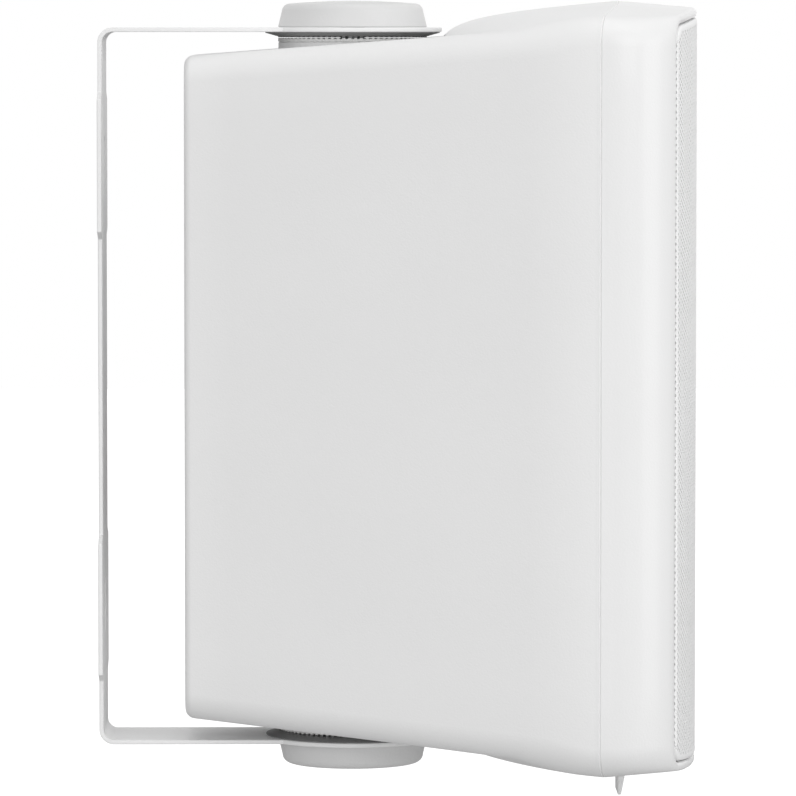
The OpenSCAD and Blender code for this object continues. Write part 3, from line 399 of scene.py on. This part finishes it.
skin = [rear_section(math.radians(a)) for a in (90, 72, 54, 36, 18, 0)]
skin += [section(half_width(d), long_edge, 0, lambda u: d) for d in (45, 60, 75, 90, 103)]
skin += [hood_section(t) for t in (0, .03, .06, .1, .15, .2, .26, .33, .41, .5, .6, .7, .8, .9, .97)]
seam_in, seam_back, rebate_w, rebate_d = 0.3, 0.35, 1.7, 1.2
skin += [hood_section(1, back=seam_back), hood_section(1, inset=seam_in)]
skin += [hood_section(1, inset=rebate_w), hood_section(1, inset=rebate_w, back=rebate_d),
         hood_section(1, inset=wall, back=rebate_d)]
skin += [hood_section(t, inset=wall) for t in (0.8, 0.5, 0.2, 0)]
skin += [section(half_width(wall_gap + wall), long_edge, wall, lambda u: wall_gap + wall)]
cabinet = lofted("cabinet_shell", skin)
pivot = (0, -85 * MM, 0)
boss_r, boss_top, spot_r, spot_floor, past_top = 25, 115.3, 31.3, 114.7, 140
for side in (1, -1):
    spot = [(0, boss_top), (boss_r, boss_top), (boss_r, spot_floor), (spot_r, spot_floor),
            (spot_r, past_top), (0, past_top)]
    cut(cabinet, turned("spotface", [(r, side * h) for r, h in spot], pivot))
land_w, land_h, recess_w, recess_h, opening_w, opening_h = 26, 68, 23.05, 65.05, 18, 60
land_back, land_front, recess_floor, before, behind = 32.3, 38.5, 34.3, 20, 40
land = block("panel_land", -land_w, land_w, land_back, land_front, -land_h, land_h)
for piece in (cabinet, land):
    cut(piece, block("panel_recess", -recess_w, recess_w, before, recess_floor, -recess_h, recess_h))
    cut(piece, block("panel_opening", -opening_w, opening_w, before, behind, -opening_h, opening_h))
shade(cabinet, 30)
moulded_white = coating("moulded_white", (0.86, 0.86, 0.86), 0.48, 1500, 0.3, tint=0.012)
settle(cabinet, "cabinet", moulded_white, "rear_cabinet", slot="white_plastic")
shade(land)
settle(land, "cabinet", moulded_white, slot="white_plastic")
bore_r, boss_foot, boss_play = 6, 104, 0.1
for side, name in ((1, "upper_boss"), (-1, "lower_boss")):
    rim = [(bore_r, boss_foot), (boss_r - boss_play, boss_foot), (boss_r - boss_play, boss_top - 0.4),
           (boss_r - 0.5, boss_top - 0.02), (bore_r, boss_top - 0.02)]
    boss = turned(name, [(r, side * h) for r, h in rim], pivot)
    shade(boss)
    settle(boss, "cabinet", moulded_white, slot="white_plastic")

# Threaded inserts: turned brass, moulded into the cabinet under each boss.
brass = coating("turned_brass", (0.72, 0.52, 0.20), 0.3, 400, 0.1, metal=1.0)
for node in ("upper_insert", "lower_insert"):
    dress(node, brass)

# Connection panel: black moulded plate let into the back on a foam seal, with a
# power socket, an audio socket, a pairing button, a light and two wire clamps.
black_panel = coating("panel_black", (0.022, 0.022, 0.024), 0.5, 900, 0.35, tint=0.15)
black_smooth = coating("socket_black", (0.016, 0.016, 0.017), 0.3, 500, 0.05, tint=0.1)
foam = coating("foam_black", (0.02, 0.02, 0.02), 0.95, 600, 0.9, tint=0.3)
zinc = coating("zinc_plate", (0.62, 0.63, 0.65), 0.32, 500, 0.1, metal=1.0)
lever_red = coating("lever_red", (0.42, 0.015, 0.012), 0.3, 300, 0.05)
lever_ink = coating("lever_black", (0.02, 0.02, 0.02), 0.28, 300, 0.05, tint=0.1)
button_grey = coating("button_grey", (0.17, 0.17, 0.175), 0.45, 600, 0.15)
light_pipe = coating("light_pipe", (0.30, 0.55, 0.80), 0.2, 300, 0.02)
eased("rear_panel", 0.3 * MM, "cabinet", black_panel, "black_plastic")
eased("terminal_block", 0.25 * MM, "cabinet", black_panel, "black_plastic")
eased("power_socket", 0.2 * MM, "cabinet", black_smooth, "black_plastic")
eased("audio_socket", 0.2 * MM, "cabinet", black_smooth, "black_plastic")
screws = eased("panel_screws", 0.25 * MM, "cabinet", zinc, "zinc_steel")
slot_reach, slot_half_w, slot_from, slot_floor = 1.3, 0.35, 29.5, 31.2
for x, z in ((20.5, 62.5), (-20.5, 62.5), (20.5, -62.5), (-20.5, -62.5)):
    for name, w, h in (("slot_across", slot_reach, slot_half_w),
                       ("slot_upright", slot_half_w, slot_reach)):
        cut(screws, block(name, x - w, x + w, slot_from, slot_floor, z - h, z + h))
eased("red_lever", 0.4 * MM, "red_lever", lever_red, "red_plastic")
eased("black_lever", 0.4 * MM, "black_lever", lever_ink, "lever_black")
eased("pairing_button", 0.4 * MM, "pairing_button", button_grey, "button_grey")
dress("status_light", light_pipe)
dress("panel_seal", foam)

# Electronics: an amplifier board on four posts behind the panel, its finned
# cooler, two reservoir capacitors and a shielded radio, and the filter board.
board_green = coating("solder_mask", (0.02, 0.13, 0.05), 0.3, 250, 0.1, tint=0.2)
fins = coating("extruded_aluminium", (0.60, 0.61, 0.63), 0.35, 300, 0.2, metal=1.0, stretch=(1, 1, 0.05))
sleeve = coating("capacitor_sleeve", (0.02, 0.03, 0.10), 0.25, 300, 0.05)
shield = coating("shield_can", (0.55, 0.57, 0.60), 0.3, 400, 0.1, metal=1.0)
enamel = coating("copper_enamel", (0.55, 0.18, 0.06), 0.35, 1200, 0.5, metal=0.8, stretch=(1, 1, 4))
film = coating("film_capacitor", (0.45, 0.33, 0.07), 0.4, 400, 0.1)
for node, material in (("amplifier_board", board_green), ("crossover_board", board_green),
                       ("heat_sink", fins), ("power_capacitors", sleeve),
                       ("wireless_module", shield), ("board_screws", zinc),
                       ("crossover_coil", enamel), ("crossover_capacitors", film)):
    dress(node, material)

# Seal: a soft cord in the rebate where the two halves of the cabinet meet.
dress("cabinet_seal", foam)

# Front bezel and baffle: one white moulding that carries the drive units. Its
# rounded shoulders run from the seam to a lip round the grille, and a thin foot
# below keeps the grille off the table when the speaker stands.
bezel_white = coating("bezel_white", (0.82, 0.82, 0.82), 0.38, 1300, 0.2, tint=0.01, coat=0.15)


def bezel_section(t, inset=0.0, back=0.0):
    return section(half_width(mix(seam_side, front_side, t)), long_edge, inset,
                   lambda u: mix(seam_depth(u), front_depth(u), t) - back)


def flat_section(d, inset):
    return section(half_width(d), long_edge, inset, lambda u: d)


baffle_back, baffle_front, woofer_z, tweeter_z, port_z = 175.2, 179.2, -45.0, 53.5, 101.5
skin = [flat_section(baffle_back, wall), bezel_section(0, wall), bezel_section(0, seam_in)]
skin += [bezel_section(0, back=-seam_back)]
skin += [bezel_section(t) for t in (.08, .16, .25, .34, .43, .52, .6, .68, .75, .81, .86, .9, .94)]
skin += [bezel_section(.975, 0.35), bezel_section(.995, 1.0), bezel_section(1, 1.8)]
skin += [bezel_section(1, 2.6, 0.15), bezel_section(1, 3, 0.8), bezel_section(1, 3, 8)]
skin += [flat_section(baffle_front + 0.6, wall), flat_section(baffle_front, wall + 0.6)]
bezel = lofted("bezel_shell", skin)
hole_from, hole_to = 170, 185
for z, r in ((woofer_z, 57.3), (tweeter_z, 24.3), (port_z, 12.05)):
    hole = [(0, hole_from), (r, hole_from), (r, hole_to), (0, hole_to)]
    cut(bezel, turned("hole", hole, (0, 0, z * MM), axis="Y"))
shade(bezel, 30)
settle(bezel, "cabinet", bezel_white, "front_bezel", slot="bezel_plastic")
foot_top = section(half_width(seam_side), long_edge, 0, seam_depth)[0].z / MM
foot_half_w, foot_h, foot_root, foot_back, foot_front, foot_tip = 9, 9.5, 2, 0.3, 3.7, 1.5
foot = block("foot", -foot_half_w, foot_half_w, seam_mid + foot_back, seam_mid + foot_front,
             -foot_top - foot_h, -foot_top + foot_root)
for v in foot.data.vertices:
    if v.co.z < -foot_top * MM - 0.001 and v.co.y < -(seam_mid + 2) * MM:
        v.co.y = -(seam_mid + foot_tip) * MM
pick(foot)
easing = foot.modifiers.new("easing", "BEVEL")
easing.width, easing.segments = 0.45 * MM, 3
bpy.ops.object.modifier_apply(modifier=easing.name)
shade(foot)
settle(foot, "cabinet", bezel_white, slot="bezel_plastic")
black_screw = coating("screw_black", (0.02, 0.02, 0.022), 0.35, 500, 0.1, metal=0.6)
dress("cabinet_screws", black_screw)

# Woofer: a black pressed basket with four windows, a ferrite motor with zinc
# plates, a dark pulp cone with a doped cap, and a rubber roll round it.
basket_black = coating("basket_black", (0.02, 0.02, 0.022), 0.4, 500, 0.2, tint=0.15)
ferrite = coating("ferrite", (0.045, 0.045, 0.05), 0.6, 900, 0.6, tint=0.2)
pulp = coating("cone_pulp", (0.035, 0.035, 0.038), 0.7, 420, 0.9, tint=0.3)
doped = coating("cap_cloth", (0.02, 0.02, 0.021), 0.35, 2200, 0.5, tint=0.2)
roll_rubber = coating("roll_rubber", (0.016, 0.016, 0.016), 0.45, 700, 0.1, tint=0.1)
spider_cloth = coating("spider_cloth", (0.45, 0.26, 0.08), 0.85, 2600, 0.8, tint=0.25)
for node, material in (("woofer_basket", basket_black), ("woofer_magnet", ferrite),
                       ("woofer_top_plate", zinc), ("woofer_pole_piece", zinc),
                       ("woofer_gasket", foam), ("woofer_screws", black_screw),
                       ("woofer_surround", roll_rubber), ("woofer_spider", spider_cloth),
                       ("woofer_cone", pulp), ("dust_cap", doped), ("voice_coil", enamel)):
    dress(node, material)

# Tweeter: a coated silk dome in a black face plate with a shallow horn, on its
# own sealed motor.
silk = coating("dome_silk", (0.02, 0.02, 0.022), 0.4, 3000, 0.5, tint=0.2)
face_black = coating("face_black", (0.022, 0.022, 0.023), 0.42, 900, 0.25, tint=0.1)
for node, material in (("tweeter_faceplate", face_black), ("tweeter_motor", zinc),
                       ("tweeter_surround", roll_rubber), ("tweeter_dome", silk),
                       ("tweeter_screws", black_screw)):
    dress(node, material)

# Port: a flared black tube glued into the baffle above the tweeter.
dress("port_tube", face_black)

# Wadding: a polyester fleece pad that stands across the cabinet in front of the
# boards. It is soft, so its faces are lumpy and its edges round.
fleece = coating("fleece", (0.78, 0.78, 0.73), 0.95, 700, 1.0, tint=0.1)
low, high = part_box("wadding")
wad = block("wadding_pad", low.x / MM, high.x / MM, -high.y / MM, -low.y / MM, low.z / MM, high.z / MM)
back_half = max(v.co.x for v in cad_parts["wadding"].data.vertices if v.co.y > high.y - 1e-5)
for v in wad.data.vertices:
    if v.co.y > (low.y + high.y) / 2:
        v.co.x = math.copysign(back_half, v.co.x)
pick(wad)
bpy.ops.object.mode_set(mode="EDIT")
bpy.ops.mesh.select_all(action="SELECT")
bpy.ops.mesh.subdivide(number_cuts=24)
bpy.ops.object.mode_set(mode="OBJECT")
middle = (low + high) / 2
for v in wad.data.vertices:
    reach = max(abs((v.co.z - middle.z) / (high.z - middle.z)), abs(v.co.x) / high.x)
    lump = math.sin(v.co.x * 310) * math.sin(v.co.z * 270 + v.co.x * 90)
    v.co.y = middle.y + (v.co.y - middle.y) * (0.86 - 0.5 * unit((reach - 0.8) / 0.2) ** 2 + 0.1 * lump)
shade(wad, 60)
settle(wad, "cabinet", fleece, "wadding", slot="wadding_fibre")

# Grille: a white steel sheet, perforated in a close triangular pattern, bowed to
# the front, with its two sides bent over and a folded rim inside the bezel's lip.
grille_white = coating("grille_coat", (0.88, 0.88, 0.88), 0.45, 900, 0.2, tint=0.015)
low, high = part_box("grille")
sheet_w, sheet_front = high.x / MM, -low.y / MM
lip_gap = front_half_w - sheet_w
pitch, hole_r, sheet_t, border, bend_r = 2.15, 0.57, 0.9, 1.4, 1.3
edge_gap, corner_cut, sheet_set = 0.75, 4.1, 0.05
column_gap = pitch * math.sqrt(3) / 2
edge_line = [p / MM for p in bezel_section(1, lip_gap)[:23]]
sheet_h = edge_line[-1].z


def bow(x, back=0.0):
    r = grille_bow - back
    return sheet_front - grille_bow + math.sqrt(r * r - x * x)


def top_lift(x):
    """How far the lip's crowned top raises the sheet, as a factor of its height."""
    place = unit(abs(x) / edge_line[-1].x) * 22
    i = min(21, int(place))
    return mix(edge_line[i].z, edge_line[i + 1].z, place - i) / sheet_h


bend_x = sheet_w - bend_r
bend_x += bend_r * bend_x / grille_bow
bend_lean = math.asin(bend_x / grille_bow)
bend_depth = bow(bend_x) - bend_r * math.cos(bend_lean)
sheet_reach = bend_x + bend_r * (math.pi / 2 - bend_lean)
cell = pitch / math.sqrt(3)
points, faces = [], []
for k in range(2):
    cx, cz = k * column_gap, k * pitch / 2
    base = len(points)
    for i in range(6):
        a = math.radians(60 * i)
        points.append((cx + cell * math.cos(a), 0, cz + cell * math.sin(a)))
    for i in range(12):
        a = math.radians(30 * i)
        points.append((cx + hole_r * math.cos(a), 0, cz + hole_r * math.sin(a)))
    for i in range(6):
        a, b = base + i, base + (i + 1) % 6
        h = [base + 6 + (2 * i + j) % 12 for j in range(3)]
        faces += [(a, h[1], h[0]), (a, b, h[1]), (b, h[2], h[1])]
last_column = sheet_reach - edge_gap
pairs = int(last_column / column_gap) + 2
rows = int(2 * sheet_h / 3 / pitch) + 4
field_h = sheet_h - border
for part, z0, z1 in (("grille_sheet_upper", sheet_h / 3, field_h),
                     ("grille_sheet_middle", -sheet_h / 3, sheet_h / 3),
                     ("grille_sheet_lower", -field_h, -sheet_h / 3)):
    sheet = bpy.data.objects.new(part, bpy.data.meshes.new(part))
    sheet.data.from_pydata([Vector(p) * MM for p in points], [], faces)
    bpy.context.scene.collection.objects.link(sheet)
    pick(sheet)
    for count, offset in ((pairs, (2 * column_gap, 0, 0)), (rows, (0, 0, pitch))):
        repeat = sheet.modifiers.new("repeat", "ARRAY")
        repeat.count = count
        repeat.use_relative_offset = False
        repeat.use_constant_offset = True
        repeat.constant_offset_displace = Vector(offset) * MM
        bpy.ops.object.modifier_apply(modifier=repeat.name)
    first_row = math.floor(z0 / pitch - 1) * pitch
    shift = Vector((last_column - (2 * pairs - 2) * column_gap, 0, first_row)) * MM
    sheet.data.transform(Matrix.Translation(shift))
    bpy.ops.object.mode_set(mode="EDIT")
    bpy.ops.mesh.select_all(action="SELECT")
    bpy.ops.mesh.remove_doubles(threshold=1e-5)
    corner_x, corner_z = sheet_w - corner_cut, field_h
    cuts = [((sheet_reach, 0, 0), (1, 0, 0)), ((-sheet_reach, 0, 0), (-1, 0, 0)),
            ((0, 0, z1), (0, 0, 1)), ((0, 0, z0), (0, 0, -1))]
    cuts += [((sx * corner_x, 0, sz * corner_z), (sx, 0, sz)) for sx in (1, -1) for sz in (1, -1)]
    for place, normal in cuts:
        bpy.ops.mesh.select_all(action="SELECT")
        bpy.ops.mesh.bisect(plane_co=Vector(place) * MM, plane_no=normal, clear_outer=True)
    bpy.ops.object.mode_set(mode="OBJECT")
    for v in sheet.data.vertices:
        x, side = abs(v.co.x) / MM, math.copysign(1, v.co.x)
        v.co.z *= top_lift(x)
        if x < bend_x:
            v.co.y = -bow(x, sheet_set) * MM
        else:
            a = math.pi / 2 - bend_lean - (x - bend_x) / bend_r
            v.co.x = side * (sheet_w - bend_r + (bend_r - sheet_set) * math.cos(a)) * MM
            v.co.y = -(bend_depth + (bend_r - sheet_set) * math.sin(a)) * MM
    thick = sheet.modifiers.new("thick", "SOLIDIFY")
    thick.thickness = sheet_t * MM
    thick.offset = -1 if sheet.data.polygons[0].normal.y < 0 else 1
    bpy.ops.object.modifier_apply(modifier=thick.name)
    shade(sheet, 35)
    settle(sheet, "cabinet", grille_white, "grille", slot="grille_paint")


def rim_section(top, side):
    """One line round the rim; each of top and side is an inset and a distance behind the bow."""
    line = []
    for p in bezel_section(1, lip_gap):
        w = ease(1 - (abs(p.z) / MM - sheet_h + 7) / 5)
        line.append((mix(top[0], side[0], w), mix(top[1], side[1], w)))
    full = []
    for i, (inset, back) in enumerate(line):
        p = bezel_section(1, lip_gap + inset)[i]
        full.append(Vector((p.x, -(bow(p.x / MM) - back) * MM, p.z)))
    return full


rim = lofted("grille_rim", [rim_section(top, side) for top, side in (
    ((1.9, 0.9), (0.9, 1.5)), ((1.9, 0.0), (0.85, 1.0)), ((1.1, 0.0), (0.3, 0.96)),
    ((0.5, 0.18), (0.1, 0.97)), ((0.12, 0.55), (0.02, 0.99)), ((0, 1.1), (0, 1.1)),
    ((0, 7), (0, 7)), ((0.9, 7), (0.9, 7)), ((0.9, 1.3), (0.9, 1.9)),
    ((1.3, 0.9), (0.9, 1.7)))], cap_first=False, cap_last=False, closed=True)
shade(rim)
settle(rim, "cabinet", grille_white, slot="grille_paint")

# Hand knobs: white moulded caps on zinc-plated studs, above and below, which
# clamp the arms to the cabinet. Each has a drafted side and a crowned top.
knob_white = coating("knob_white", (0.70, 0.70, 0.70), 0.45, 1100, 0.25, tint=0.015)
knob_z, knob_h, knob_r, draft, edge_r, crown_h, chamfer = 120.05, 8.9, 25.0, 1.2, 2.8, 0.9, 0.3
flat_r = knob_r - draft - edge_r
profile = [(knob_r - chamfer, 0), (knob_r, chamfer)]
for i in range(9):
    a = math.radians(90 * i / 8)
    profile.append((flat_r + edge_r * math.cos(a), knob_h - crown_h - edge_r + edge_r * math.sin(a)))
ball = (flat_r ** 2 + crown_h ** 2) / (2 * crown_h)
for i in range(11, -1, -1):
    x = flat_r * i / 12
    profile.append((x, knob_h - ball + math.sqrt(ball * ball - x * x)))
head_r, head_top, stud_r, seat_r, seat_h, hub_r = 6, 6.4, 4.03, 9.8, 1.25, 10.5
skirt_in = knob_r - draft - 2
inside = [(0, head_top), (head_r, head_top), (head_r, 2.2), (stud_r, 2.2), (stud_r, seat_h),
          (seat_r, seat_h), (seat_r, 0), (hub_r, 0), (hub_r, knob_h - 3.4),
          (skirt_in, knob_h - 4.4), (skirt_in, 0)]
for side, name in ((1, "upper_knob"), (-1, "lower_knob")):
    outline = [(r, side * (h + knob_z)) for r, h in profile + inside]
    cap = turned(name + "_cap", outline, pivot, steps=128)
    shade(cap, 30)
    settle(cap, name, knob_white, name, slot="knob_plastic")
for node in ("upper_knob_stud", "lower_knob_stud", "upper_knob_washer", "lower_knob_washer"):
    dress(node, zinc)
